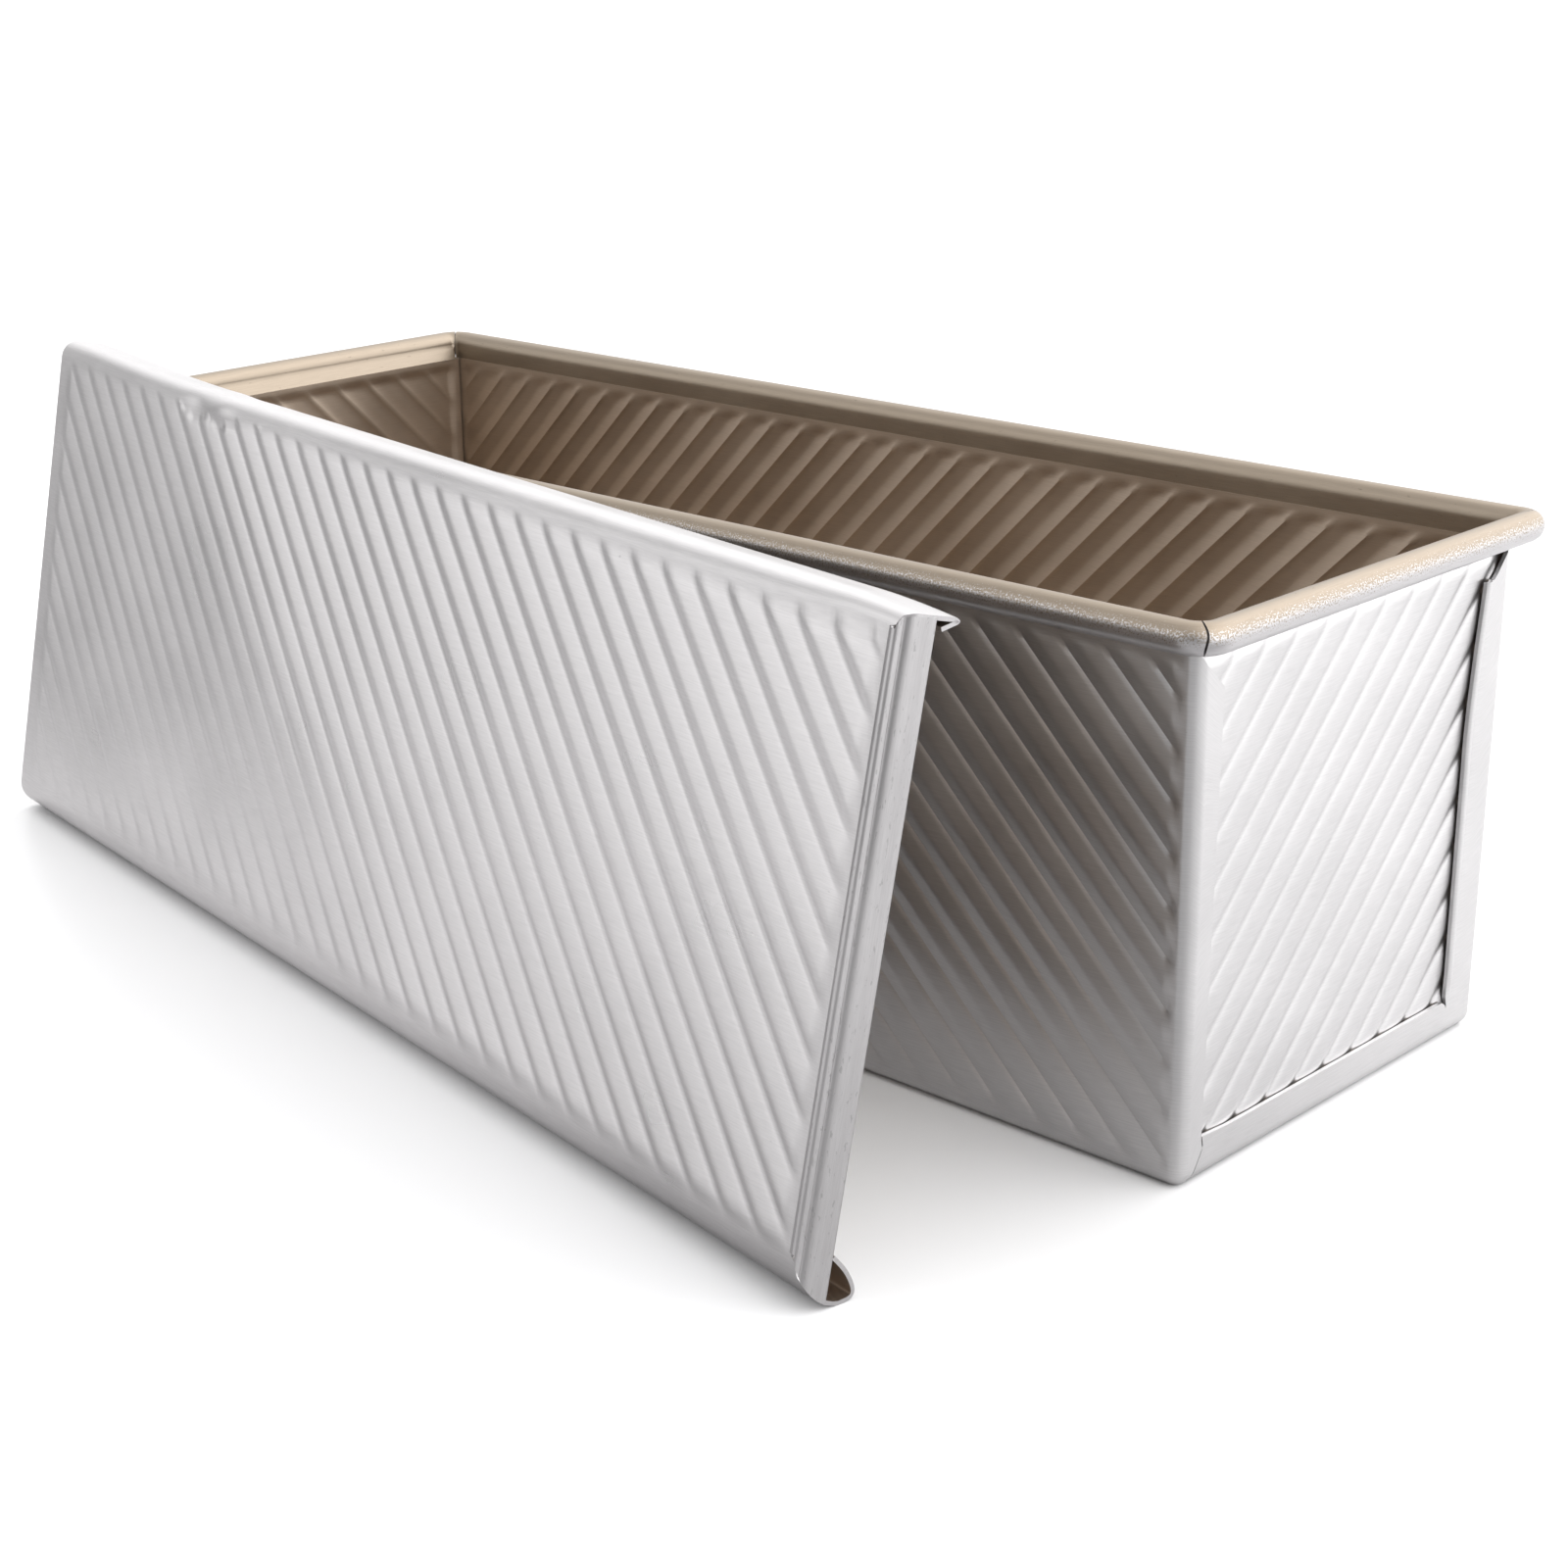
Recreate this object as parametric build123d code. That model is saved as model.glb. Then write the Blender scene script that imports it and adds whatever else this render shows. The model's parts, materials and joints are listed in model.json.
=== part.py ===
from build123d import *
import os
from math import cos, degrees, inf, radians, sin, sqrt, tan

# Loaf pan of ribbed sheet with a loose cover, stood as one leans it beside the pan.
# Origin at the middle of the floor under the pan, +X along the pan, -Y its front, +Z up.

# Body: front wall, floor and back wall are one folded sheet
body_length = 320.0
body_width = 105.0
body_height = 110.0
wall_lean = 0.6
sheet = 0.8
bend_radius = 3.0
front_flange = 7.0
back_flange = 10.0
floor_flange = 7.5
flange_trim = 5.5
mitre_slit = 0.4

# End plates, tucked behind the body's flanges
plate_play = 0.05
plate_side_gap = 1.3
plate_foot = 1.3
plate_corner = 1.5

# Rolled rim and the wire inside it
wire_diameter = 4.4
wire_play = 0.1
roll_turn = 300.0
rim_corner = 4.5
rim_gap = 0.3
rim_seam = 0.4

# Ribs pressed into every panel, at forty-five degrees
rib_step = 10.0
rib_slant = 45.0
rib_height = 0.9
wall_rib_width = 4.2
plate_rib_width = 5.6
cover_rib_width = 4.9
rib_margin = 0.6
rib_headroom = 3.0
plate_rib_margin = 1.5
rib_relief = 0.05
wall_rib_phase_share = 0.05
floor_rib_phase_share = 0.5
plate_rib_phase_share = 0.48
cover_rib_phase_share = 0.8

# Cover: a ribbed plate with a hooked curl down each long side and a folded lip at one end
cover_length = 335.0
cover_width = 121.5
cover_depth = 12.5
cover_bend = 3.2
curl_radius = 3.4
lip_depth = 7.7
lip_bend = 2.4
lip_inset = 4.2
hem_depth = 2.5
cover_rib_margin = 4.6
cover_rib_end_margin = 6.0

# How the cover stands against the pan
cover_lean = 11.5
cover_swing = 9.9
cover_overhang = 26.5
rest_gap = 0.25

# How far a cutting shape runs past what it cuts
overrun = 5.0

# Worked out from the sizes above
lean = radians(wall_lean)
across = sheet / cos(lean)
roll_inner = wire_diameter / 2 + wire_play
roll_outer = roll_inner + across
roll_height = body_height - roll_outer
brow = roll_height - roll_outer - rim_gap
plate_depth = sheet + plate_play + rib_height


def half_length(height, depth=0):
    """Half the pan's length at a height, this deep below the end's outer face."""
    return body_length / 2 + height * tan(lean) - depth / cos(lean)


def half_width(height, depth=0):
    """Half the pan's width at a height, this deep below the wall's outer face."""
    return body_width / 2 + height * tan(lean) - depth / cos(lean)


wire_x = half_length(roll_height, sheet) + roll_outer
wire_y = half_width(roll_height, sheet) + roll_outer
run_x = wire_x - rim_corner
run_y = wire_y - rim_corner


def trough(depth):
    """The pan's outer form drawn in by a depth, with its folds rounded to match."""

    def tapered(half, sketch_plane, reach):
        low, high = half(depth, depth), half(roll_height, depth)
        outline = [(-low, depth), (low, depth), (high, roll_height), (-high, roll_height)]
        return extrude(sketch_plane * make_face(Polyline(*outline, close=True)), amount=reach, both=True)

    block = tapered(half_length, Plane.XZ, half_width(body_height))
    block &= tapered(half_width, Plane.YZ, half_length(body_height))
    folds = block.edges() - block.edges().group_by(Axis.Z)[-1]
    return fillet(folds, bend_radius - depth)


def end_cutter(outline, start):
    """Extrude a Y-Z outline through both ends of the pan from a distance along X."""
    face = Plane.YZ.offset(start) * make_face(Polyline(*outline, close=True))
    reach = half_length(body_height) + roll_outer + overrun - start
    cutter = extrude(face, amount=reach)
    return [cutter, mirror(cutter, about=Plane.YZ)]


def end_windows():
    """The openings that leave a flange on three sides of each end."""
    front = front_flange - body_width / 2
    back = body_width / 2 - back_flange
    outer = half_width(brow)
    outline = [
        (front, floor_flange),
        (back, floor_flange),
        (back, brow - flange_trim),
        (outer, brow),
        (-outer, brow),
        (front, brow - flange_trim),
    ]
    slit = Vector(bend_radius - body_width / 2 - front, bend_radius - floor_flange)
    side = Vector(-slit.Y, slit.X).normalized() * (mitre_slit / 2)
    corner = Vector(front, floor_flange)
    slot = [corner + side - slit.normalized() * mitre_slit, corner + side + slit]
    slot += [corner - side + slit, corner - side - slit.normalized() * mitre_slit]
    start = half_length(roll_height, plate_depth + sheet) - rim_gap
    return end_cutter(outline, start) + end_cutter([(point.X, point.Y) for point in slot], start)


def corner_notches():
    """Room at the four top corners, where the rims turn."""
    outer = half_width(body_height) + overrun
    top = body_height + overrun
    return end_cutter([(-outer, brow), (outer, brow), (outer, top), (-outer, top)], run_x)


# Rim

def roll_section():
    """Sheet that rises from the wall, rolls outward over the wire and tucks under it."""
    start = 180 - roll_turn
    outer = CenterArc((0, 0), roll_outer, start, roll_turn)
    inner = CenterArc((0, 0), roll_inner, start, roll_turn)
    return make_face([outer, inner, Line(outer @ 0, inner @ 0), Line(outer @ 1, inner @ 1)])


def skirt_section():
    """The short wall below the roll at a corner."""
    drop = roll_height - brow - plate_play
    return Pos(-(roll_outer + roll_inner) / 2, -drop / 2) * Rectangle(across, drop)


def swept_side(half_run, half_across, straight_section, corner_section, turn):
    """Carry a section along one side, square to Y, and round half of each corner."""
    frame = Plane((half_run, -half_across, roll_height), x_dir=(0, -1, 0), z_dir=(-1, 0, 0))
    axis = Axis((half_run, rim_corner - half_across, 0), (0, 0, 1))
    corner = revolve(frame * corner_section, axis, turn)
    return extrude(frame * straight_section, amount=2 * half_run) + corner + mirror(corner, about=Plane.YZ)


def rim_side(half_run, half_across):
    """One side of the rolled rim, stopped short of the seams at its two corners."""
    turn = 45 - degrees(rim_seam / 2 / rim_corner)
    corner = roll_section() + skirt_section()
    return swept_side(half_run, half_across, roll_section(), corner, turn)


def rim_wire():
    """The closed loop of wire that stiffens the rim."""
    section = Circle(wire_diameter / 2)
    long_side = swept_side(run_x, wire_y, section, section, 45)
    short_side = Rot(0, 0, 90) * swept_side(run_y, wire_x, section, section, 45)
    return long_side + Rot(0, 0, 180) * long_side + short_side + Rot(0, 0, 180) * short_side


# Ribs

def clipped(point, direction, half_x, half_y):
    """The stretch of a line inside a rectangle, as two distances, or None."""
    low, high = -inf, inf
    for place, step, half in ((point[0], direction[0], half_x), (point[1], direction[1], half_y)):
        ends = sorted(((-half - place) / step, (half - place) / step))
        low, high = max(low, ends[0]), min(high, ends[1])
    return (low, high) if high > low else None


def rib_cap(length, radius, axis_depth, floor_depth):
    """A rib's rounded back: a round-ended bar seen only above the floor depth."""
    outline = [
        Line((-length / 2, radius), (length / 2, radius)),
        CenterArc((length / 2, 0), radius, 0, 90),
        CenterArc((-length / 2, 0), radius, 90, 90),
        Line((-length / 2 - radius, 0), (length / 2 + radius, 0)),
    ]
    bar = revolve(make_face(outline), Axis.X)
    room = Box(
        length + 2 * radius,
        2 * radius,
        radius,
        align=(Align.CENTER, Align.CENTER, Align.MIN),
    )
    return Pos(0, 0, -axis_depth) * bar & Pos(0, 0, -floor_depth) * room


def rib_field(plane, half_x, half_y, width, rise, phase_share):
    """Caps to add above a panel's face and to cut from behind it, on slanted lines.

    The plane lies on the raised face, and the ribs keep within the half sizes.
    """
    outer = (width**2 / 4 + rib_height**2) / (2 * rib_height)
    depth = outer - rib_height
    room_x, room_y = half_x - width / 2, half_y - width / 2
    slant = radians(rib_slant) * rise
    count = int((half_x + half_y / tan(radians(rib_slant))) / rib_step) + 1
    backs, hollows, made = [], [], {}
    for number in range(-count, count + 1):
        start = ((number + phase_share) * rib_step, 0)
        stretch = clipped(start, (cos(slant), sin(slant)), room_x, room_y)
        if stretch is None:
            continue
        length = stretch[1] - stretch[0]
        key = round(length / sheet, 3)
        if key not in made:
            back = rib_cap(length, outer, depth, sheet / 4)
            hollow = rib_cap(length, outer - sheet, depth, sheet + rib_relief)
            made[key] = (back, hollow)
        middle = sum(stretch) / 2
        place = Location((start[0] + middle * cos(slant), middle * sin(slant), 0), (0, 0, degrees(slant)))
        backs.append(plane.location * place * made[key][0])
        hollows.append(plane.location * place * made[key][1])
    return backs, hollows


def pressed(panel, fields):
    """Press ribs into a sheet: add every back, then hollow every one out."""
    backs = [cap for field in fields for cap in field[0]]
    hollows = [cap for field in fields for cap in field[1]]
    return panel.fuse(*backs).cut(*hollows)


# Body

def wall_field(side):
    """Ribs pressed into the front or back wall, raised on the inside."""
    low = bend_radius + rib_margin
    high = brow - rib_headroom
    middle = (low + high) / 2
    plane = Plane(
        (0, -side * half_width(middle, sheet), middle),
        x_dir=(-side, 0, 0),
        z_dir=(0, side * cos(lean), sin(lean)),
    )
    half_x = body_length / 2 - bend_radius - rib_margin
    return rib_field(plane, half_x, (high - low) / 2, wall_rib_width, 1, wall_rib_phase_share)


def floor_field():
    """Ribs pressed up into the floor, so that the lands stand flat."""
    plane = Plane((0, 0, sheet), x_dir=(1, 0, 0), z_dir=(0, 0, 1))
    half_x = body_length / 2 - bend_radius - rib_margin
    half_y = body_width / 2 - bend_radius - rib_margin
    return rib_field(plane, half_x, half_y, wall_rib_width, 1, floor_rib_phase_share)


def body_sheet():
    shell = trough(0) - trough(sheet)
    shell = shell.cut(*end_windows(), *corner_notches())
    front_rim = rim_side(run_x, wire_y)
    shell = shell.fuse(front_rim, Rot(0, 0, 180) * front_rim)
    return pressed(shell, [wall_field(1), wall_field(-1), floor_field()])


# End plates

def plate_step():
    """The strip above an end plate that steps out to the foot of its roll."""
    outline = [
        (half_length(brow, plate_depth), brow),
        (half_length(roll_height), roll_height),
        (half_length(roll_height, sheet), roll_height),
        (half_length(brow, plate_depth + sheet), brow),
    ]
    return extrude(Plane.XZ * make_face(Polyline(*outline, close=True)), amount=run_y, both=True)


def end_plate():
    """The right end: a ribbed plate whose top steps out and rolls like the walls'."""
    base = Plane(
        (half_length(0, plate_depth), 0, 0),
        x_dir=(0, 1, 0),
        z_dir=(cos(lean), 0, -sin(lean)),
    )
    side = half_width(plate_foot) - plate_side_gap
    outline = [
        (side - plate_corner, plate_foot / cos(lean)),
        (side, (plate_foot + plate_corner) / cos(lean)),
        (half_width(brow) - plate_side_gap, brow / cos(lean)),
    ]
    mirrored = [(-x, y) for x, y in reversed(outline)]
    plate = extrude(base * make_face(Polyline(*outline, *mirrored, close=True)), amount=-sheet)
    plate = plate.fuse(plate_step(), Rot(0, 0, 90) * rim_side(run_y, wire_x))
    low = plate_foot + plate_rib_margin
    high = brow - rib_headroom
    middle = Plane(base * Pos(0, (low + high) / 2, 0))
    half_x = side - plate_rib_margin
    half_y = (high - low) / 2
    field = rib_field(middle, half_x, half_y, plate_rib_width, 1, plate_rib_phase_share)
    return pressed(plate, [field])


# Cover, drawn flat with its outer face up, then stood against the pan

def cover_section():
    """The plate and its two curls, cut across the cover's length."""
    halves = []
    for inset in (0, sheet):
        curl = CenterArc((curl_radius, curl_radius - cover_depth), curl_radius - inset, 180, 180)
        bend = CenterArc((cover_bend, -cover_bend), cover_bend - inset, 90, 90)
        side = Line(bend @ 1, curl @ 0)
        face = Line((cover_width / 2, -inset), bend @ 0)
        halves.append([face, bend, side, curl])
    lip_end = Line(halves[0][3] @ 1, halves[1][3] @ 1)
    middle = Line((cover_width / 2, 0), (cover_width / 2, -sheet))
    half = make_face(halves[0] + halves[1] + [lip_end, middle])
    return half + mirror(half, about=Plane.YZ.offset(cover_width / 2))


def lip_section():
    """The end lip: a bend, a straight flank and a closed hem, as a Y-Z section."""
    flank = Line((0, -lip_bend), (0, sheet - lip_depth))
    bend = CenterArc((-lip_bend, -lip_bend), lip_bend, 0, 90)
    inner_bend = CenterArc((-lip_bend, -lip_bend), lip_bend - sheet, 0, 90)
    inner = Line((-sheet, -lip_bend), (-sheet, hem_depth - lip_depth))
    step = Line(inner @ 1, (-2 * sheet, hem_depth - lip_depth))
    back = Line(step @ 1, (-2 * sheet, sheet - lip_depth))
    hem = CenterArc((-sheet, sheet - lip_depth), sheet, 180, 180)
    root = Line(bend @ 1, inner_bend @ 1)
    return make_face([flank, bend, inner_bend, inner, step, back, hem, root])


def cover_blank():
    """The cover's curls, plate and end lip before the ribs are pressed."""
    frame = Plane((0, 0, 0), x_dir=(0, 1, 0), z_dir=(1, 0, 0))
    blank = extrude(frame * cover_section(), amount=cover_length)
    lip_width = cover_width - 2 * lip_inset
    room = Pos(cover_length - lip_bend, lip_inset, -lip_bend) * Box(
        lip_bend + overrun, lip_width, 2 * lip_bend, align=Align.MIN
    )
    lip_plane = Plane((cover_length, lip_inset + lip_width, 0), x_dir=(1, 0, 0), z_dir=(0, -1, 0))
    lip = extrude(lip_plane * lip_section(), amount=lip_width)
    return (blank - room) + lip


def cover_flat():
    plane = Plane((cover_length / 2, cover_width / 2, 0), x_dir=(1, 0, 0), z_dir=(0, 0, 1))
    half_x = cover_length / 2 - cover_rib_end_margin
    half_y = cover_width / 2 - cover_rib_margin
    field = rib_field(plane, half_x, half_y, cover_rib_width, -1, cover_rib_phase_share)
    return pressed(cover_blank(), [field])


def cover_place():
    """Where the leaning cover's lower left corner stands, and which way it faces."""
    swing, tilt = radians(-cover_swing), radians(cover_lean)
    along = Vector(cos(swing), sin(swing), 0)
    back = Vector(-sin(swing), cos(swing), 0)
    outward = Vector(0, 0, sin(tilt)) - back * cos(tilt)
    foot = curl_radius + (cover_depth - curl_radius) * sin(tilt) - curl_radius * cos(tilt)
    corner = Vector(-run_x, -run_y, 0)
    # How far in front of the rim's corner the cover's face starts at its foot
    by_plate = (sheet + rest_gap + roll_outer + (roll_height - foot) * sin(tilt)) / cos(tilt)
    curl_height = foot + (cover_width - curl_radius) * cos(tilt) - (cover_depth - curl_radius) * sin(tilt)
    curl_back = (cover_width - curl_radius) * sin(tilt) + (cover_depth - curl_radius) * cos(tilt)
    clear = curl_radius + roll_outer + rest_gap
    level = min(abs(curl_height - roll_height), clear)
    by_curl = curl_back + sqrt(clear**2 - level**2) if level < clear else 0
    by_wall = curl_back + curl_radius + rest_gap - roll_inner if curl_height < roll_height else 0
    reach = rim_corner + max(by_plate, by_curl, by_wall)
    start = corner.dot(along) - cover_overhang
    depth = corner.dot(back) - reach
    origin = along * start + back * depth + Vector(0, 0, foot)
    return Plane(origin, x_dir=along, z_dir=outward)


def tip_axis(place):
    """The middle of the cover's lower bend, about which it tips away from the pan."""
    return place.from_local_coords(Vector(0, cover_bend, -cover_bend))


cover_plane = cover_place()
right_plate = end_plate()
nodes = {
    "body_sheet": body_sheet(),
    "right_end_plate": right_plate,
    "left_end_plate": Rot(0, 0, 180) * right_plate,
    "rim_wire": rim_wire(),
    "cover": cover_plane.location * cover_flat(),
}

os.makedirs("parts", exist_ok=True)
for name, shape in nodes.items():
    export_step(shape, f"parts/{name}.step")
    size = shape.bounding_box().size
    print(name, len(shape.solids()), round(shape.volume), round(size.X, 2), round(size.Y, 2), round(size.Z, 2))
axis_point = tip_axis(cover_plane)
print("tip axis through", axis_point, "along", cover_plane.x_dir)
print("cover origin", cover_plane.origin, "facing", cover_plane.z_dir)
print("rim wire", wire_x, wire_y, roll_height, "outer roll", roll_outer, "brow", brow)
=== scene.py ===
# %% [markdown]
# A loaf pan with its cover leaning beside it
#
# The real pan is a strip of thin steel, ribbed by rollers and folded into a trough.
# A ribbed plate closes each end, and a wire inside the rolled rim keeps the mouth stiff.
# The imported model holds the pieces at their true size, so this script starts by loading it.
# It then lays finer surfaces over the same sizes and gives every surface its finish.

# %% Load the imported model
import json
from math import cos, degrees, pi, radians, sin, tan

import bpy
import numpy as np
from mathutils import Matrix, Vector


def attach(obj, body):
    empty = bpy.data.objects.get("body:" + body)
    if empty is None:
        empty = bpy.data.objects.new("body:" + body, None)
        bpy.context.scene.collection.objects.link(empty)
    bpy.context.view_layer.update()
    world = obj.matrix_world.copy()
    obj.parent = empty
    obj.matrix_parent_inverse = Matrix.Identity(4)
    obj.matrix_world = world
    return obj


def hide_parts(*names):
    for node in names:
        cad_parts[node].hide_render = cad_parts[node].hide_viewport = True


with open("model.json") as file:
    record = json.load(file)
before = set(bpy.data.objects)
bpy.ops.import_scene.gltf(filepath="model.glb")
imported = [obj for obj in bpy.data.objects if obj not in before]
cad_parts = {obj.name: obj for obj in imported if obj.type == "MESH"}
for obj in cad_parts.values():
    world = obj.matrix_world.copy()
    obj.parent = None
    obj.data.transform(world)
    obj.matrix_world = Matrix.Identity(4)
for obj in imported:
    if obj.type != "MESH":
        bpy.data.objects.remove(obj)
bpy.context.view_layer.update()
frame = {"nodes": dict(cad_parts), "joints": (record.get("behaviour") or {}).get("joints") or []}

# %% [markdown]
# Sizes
#
# The shapes below are worked out in millimetres and become metres when a mesh is made.
# These are the same sizes as the solid parts have, so each surface lies where its part does.

# %% Sizes of the pan
mm = 0.001
pan_length, pan_width, pan_height = 320.0, 105.0, 110.0
wall_lean = radians(0.6)
sheet = 0.8
fold_radius = 3.0
wire_radius = 2.2
roll_inner = wire_radius + 0.1
roll_outer = roll_inner + sheet
roll_height = pan_height - roll_outer
brow = roll_height - roll_outer - 0.3
rim_corner = 4.5
plate_depth = 1.75
print("pan", pan_length, "by", pan_width, "by", pan_height, "mm, of", sheet, "mm sheet")

# %% Sizes of the flanges and ribs
flange_border, mitre_gap, seam_gap, plate_rise = 3.2, 0.25, 0.28, 0.3
floor_flange_top = fold_radius * pi / 2 + 5.5
crease_angle = radians(38)
rib_step = 10.0
rib_cells, cover_rib_cells = 11, 9
wall_rib_place, plate_rib_place, floor_rib_place, cover_rib_place = 1.5, 3.2, 5.0, 1.3
wall_rib_height, plate_rib_height, floor_rib_height, cover_rib_height = 0.65, 0.47, 0.9, 0.68
print("ribs every", rib_step, "mm, in", rib_cells, "cells on the pan and", cover_rib_cells, "on the cover")

# %% [markdown]
# The cover is a plate a little wider than the pan. Its end lip is a bead and a large
# round, and both are given by the middle and the two radii of an oval. The helpers
# after them give the pan's half length and half width, which grow with the height
# because its walls lean out a little, as a mould's walls do.

# %% Sizes of the cover
cover_length, cover_bend = 335.0, 3.2
cover_lean = radians(11.5)
lip_start, lip_line, lip_foot, lip_round = 331.0, 332.95, -5.0, (1.9, 3.9)
bead_middle, bead_radii = (331.95, -0.75), (0.92, 0.87)


def half_length(height, depth=0.0):
    """Half the pan's length at a height, this deep below the end's outer face."""
    return pan_length / 2 + height * tan(wall_lean) - depth


def half_width(height, depth=0.0):
    """Half the pan's width at a height, this deep below the wall's outer face."""
    return pan_width / 2 + height * tan(wall_lean) - depth


wire_x = half_length(roll_height, sheet) + roll_outer
wire_y = half_width(roll_height, sheet) + roll_outer
run_x, run_y = wire_x - rim_corner, wire_y - rim_corner
print("rim wire", round(wire_x, 2), round(wire_y, 2), "brow", round(brow, 2))

# %% [markdown]
# The camera
#
# The camera was placed by matching the pan's corners and rim to the photograph.
# Its place, heading, tilt and roll are enough to write its matrix, and the lens follows
# from how many pixels one radian covers in the middle of the frame. Pointing it at an
# empty would be simpler, but it would leave the roll out.

# %% Camera
camera_place = Vector((0.42456, -0.43570, 0.23795))
camera_heading, camera_tilt, camera_roll = radians(43.478), radians(-18.880), radians(-0.682)
pixels_per_radian, frame_pixels, sensor_width = 2837.4, 1600, 36.0

turn = Matrix.Rotation(camera_heading, 3, "Z") @ Matrix.Rotation(pi / 2 + camera_tilt, 3, "X")
turn = turn @ Matrix.Rotation(camera_roll, 3, "Z")
camera_data = bpy.data.cameras.new("camera")
camera_data.sensor_width = sensor_width
camera_data.lens = sensor_width * pixels_per_radian / frame_pixels
camera_data.clip_start = 0.01
camera = bpy.data.objects.new("camera", camera_data)
camera.matrix_world = Matrix.Translation(camera_place) @ turn.to_4x4()
bpy.context.scene.collection.objects.link(camera)
bpy.context.scene.camera = camera
print("lens", round(camera_data.lens, 2), "looking along", [round(-v, 4) for v in turn.col[2]])

# %% [markdown]
# A sheet of metal as two grids
#
# A plane with a Solidify modifier would make a sheet too. Here both sides are worked out,
# because some are bent so tightly that the modifier would fold over itself.
#
# Every piece here is thin sheet, so it is described by one grid of points on each side.
# The helper joins the two grids with triangles, closes the edges all round and works out
# which way is outwards from the direction of one grid to the other. Each cell is split
# along the ribs, so that a rib's crease is a straight line of the mesh.

# %% Triangles and outline of a grid


def cell_triangles(rows, columns, falling):
    """Two triangles a cell, split along the falling or the rising diagonal."""
    a = (np.arange(rows - 1)[:, None] * columns + np.arange(columns - 1)).ravel()
    b, c, d = a + 1, a + columns + 1, a + columns
    if falling:
        return np.concatenate([np.stack([a, b, d], 1), np.stack([b, c, d], 1)])
    return np.concatenate([np.stack([a, b, c], 1), np.stack([a, c, d], 1)])


def border(rows, columns):
    """The grid's outline as one loop of vertex numbers, each once."""
    grid = np.arange(rows * columns).reshape(rows, columns)
    return np.concatenate([grid[0, :-1], grid[:-1, -1], grid[-1, :0:-1], grid[:0:-1, 0]])


print("a 3 by 3 grid has", len(cell_triangles(3, 3, True)), "triangles and a border of", len(border(3, 3)))

# %% A closed sheet from two grids


def unrolled(grid):
    """Each point's place on the flat strip: lengths summed along the grid both ways."""
    rows, columns, _ = grid.shape
    across = np.linalg.norm(np.diff(grid[rows // 2], axis=0), axis=1)
    upwards = np.linalg.norm(np.diff(grid[:, columns // 2], axis=0), axis=1)
    flat = np.empty((rows, columns, 2))
    flat[..., 0] = np.concatenate([[0], np.cumsum(across)])[None, :]
    flat[..., 1] = np.concatenate([[0], np.cumsum(upwards)])[:, None]
    return flat.reshape(-1, 2) * mm


def sheet_piece(name, face, back, face_coat=0.0, back_coat=1.0, falling=True):
    """A closed sheet between two grids, with how far each side is coated."""
    rows, columns, _ = face.shape
    count = rows * columns
    points = np.concatenate([face.reshape(-1, 3), back.reshape(-1, 3)])
    skin = cell_triangles(rows, columns, falling)
    loop = border(rows, columns)
    ahead = np.roll(loop, -1)
    edge = np.concatenate([
        np.stack([loop, loop + count, ahead], 1),
        np.stack([ahead, loop + count, ahead + count], 1),
    ])
    faces = np.concatenate([skin, skin[:, ::-1] + count, edge])
    corners = points[skin]
    normal = np.cross(corners[:, 1] - corners[:, 0], corners[:, 2] - corners[:, 0])
    if np.sum(normal * (points[skin[:, 0]] - points[skin[:, 0] + count])) < 0:
        faces = faces[:, ::-1]
    mesh = bpy.data.meshes.new(name)
    mesh.vertices.add(len(points))
    mesh.vertices.foreach_set("co", (points * mm).ravel())
    mesh.loops.add(faces.size)
    mesh.loops.foreach_set("vertex_index", faces.ravel())
    mesh.polygons.add(len(faces))
    mesh.polygons.foreach_set("loop_start", np.arange(0, faces.size, 3))
    mesh.polygons.foreach_set("loop_total", np.full(len(faces), 3))
    mesh.update(calc_edges=True)
    mesh.polygons.foreach_set("use_smooth", np.ones(len(faces), dtype=bool))
    mesh.set_sharp_from_angle(angle=crease_angle)
    # The cut edges are bare steel, so the coating is kept by side and not by point
    sides = [np.broadcast_to(side, (rows, columns)).ravel() for side in (face_coat, back_coat)]
    coating = np.concatenate(sides)[faces]
    coating[-len(edge):] = 0.0
    coat = mesh.attributes.new("coat", "FLOAT", "CORNER")
    coat.data.foreach_set("value", coating.ravel().astype(np.float32))
    strip = mesh.uv_layers.new(name="strip")
    strip.uv.foreach_set("vector", np.tile(unrolled(face), (2, 1))[faces].ravel().astype(np.float32))
    mesh.validate()
    piece = bpy.data.objects.new(name, mesh)
    bpy.context.scene.collection.objects.link(piece)
    print(name, len(faces), "triangles")
    return piece


# %% Places along a panel, and paths below a surface


def stations(low, high, pitch, anchor=0.0):
    """Places from low to high, a pitch apart and in step with the anchor, and both ends."""
    first = np.ceil((low - anchor) / pitch + 0.25)
    last = np.floor((high - anchor) / pitch - 0.25)
    return np.concatenate([[low], anchor + pitch * np.arange(first, last + 1), [high]])


def offset_path(across, upwards, depth):
    """A path moved in by a depth: along its own normal, a quarter turn from its tangent."""
    step_across, step_up = np.gradient(across, axis=0), np.gradient(upwards, axis=0)
    length = np.hypot(step_across, step_up)
    return across + depth * step_up / length, upwards - depth * step_across / length


print("stations along one rib:", stations(0, rib_step, rib_step / rib_cells).round(2))

# %% [markdown]
# The ribs
#
# Rollers press slanted ribs into every panel. On the walls and the cover a rib swells up
# from a sharp crease and then slopes down to the next one. Its two slopes face different
# ways, so each rib shows one dark and one light band with a fine line between them.
# On the ends and the floor the ribs are plain rounded ridges. A bump in the material
# could fake them, but the light bands and the outline need the real shape.

# %% Rib shapes
swell_power = 1.35


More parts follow.
